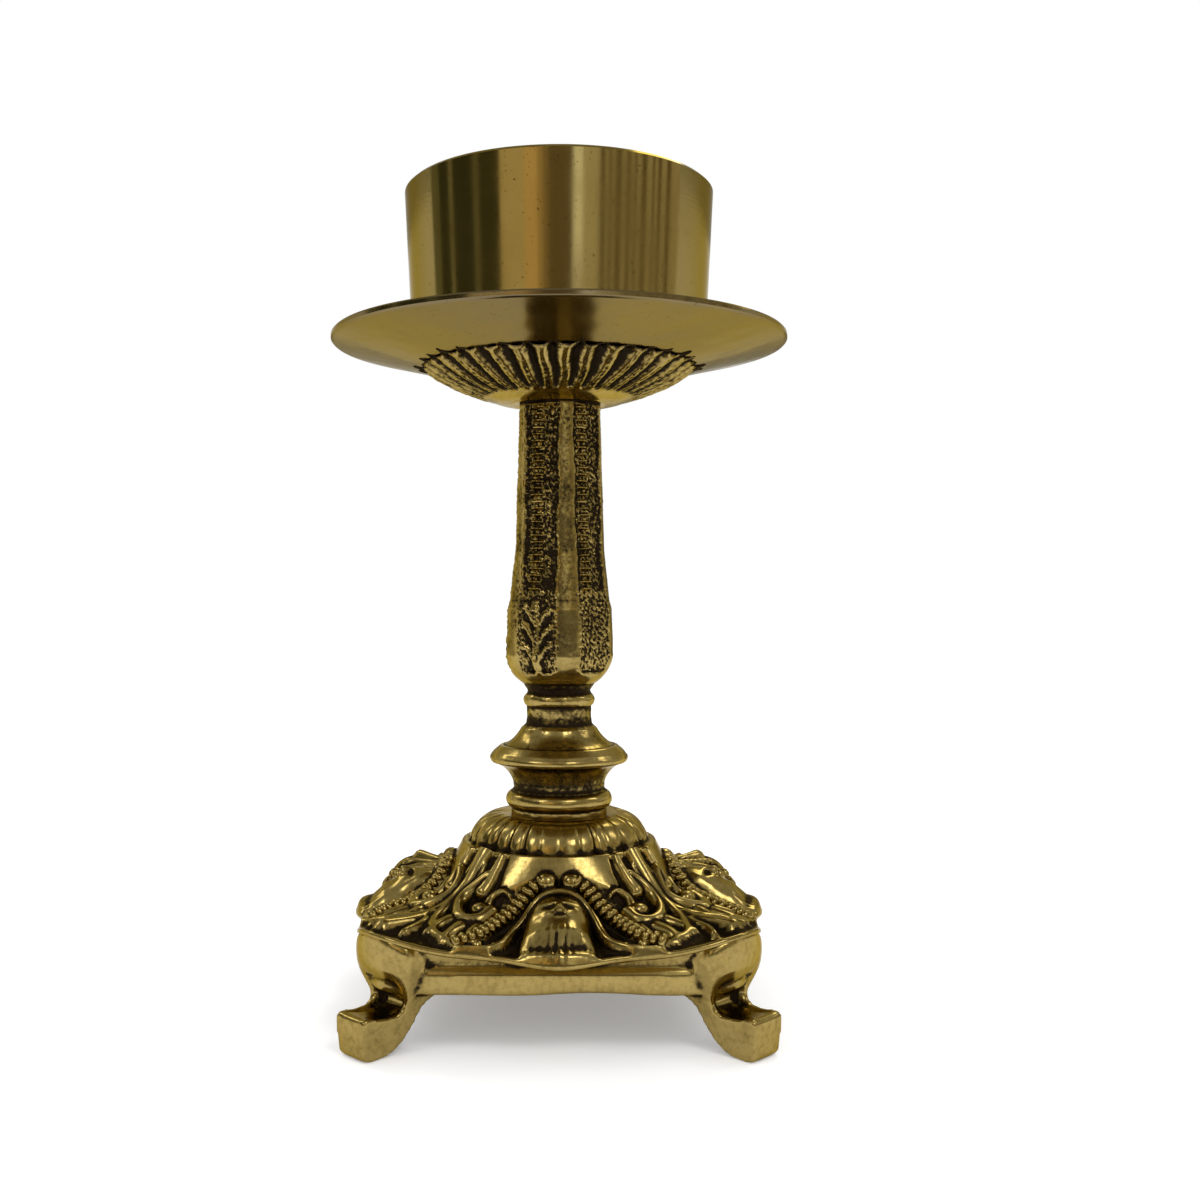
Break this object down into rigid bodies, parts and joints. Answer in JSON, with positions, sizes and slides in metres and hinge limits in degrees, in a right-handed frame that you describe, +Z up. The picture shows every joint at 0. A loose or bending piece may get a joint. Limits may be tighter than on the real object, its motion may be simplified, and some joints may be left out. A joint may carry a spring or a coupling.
{
  "type": "pricket candle stand",
  "caption": "Cast and turned brass candle stand: wide cup over a drip pan on a panelled stem, with a carved square base on scroll feet.",
  "frame": {"origin": "centre of the square that the four feet stand on, at table level", "axes": "+Z up along the stem, +X to the right and -Y towards the front of one side of the base"},
  "size_m": [0.1216, 0.1216, 0.2159],
  "materials": {
    "cast_brass": "cast, polished on the high parts, dark brown patina in the hollows",
    "polished_brass": "turned and mirror polished",
    "steel": "plain zinc plated"
  },
  "bodies": {
    "root": {"base": "cast_brass", "stem": "cast_brass", "calyx": "cast_brass", "drip_pan": "polished_brass", "candle_cup": "polished_brass", "pricket": "polished_brass", "tie_rod": "steel", "base_washer": "steel", "lock_washer": "steel", "base_nut": "steel"}
  },
  "joints": []
}
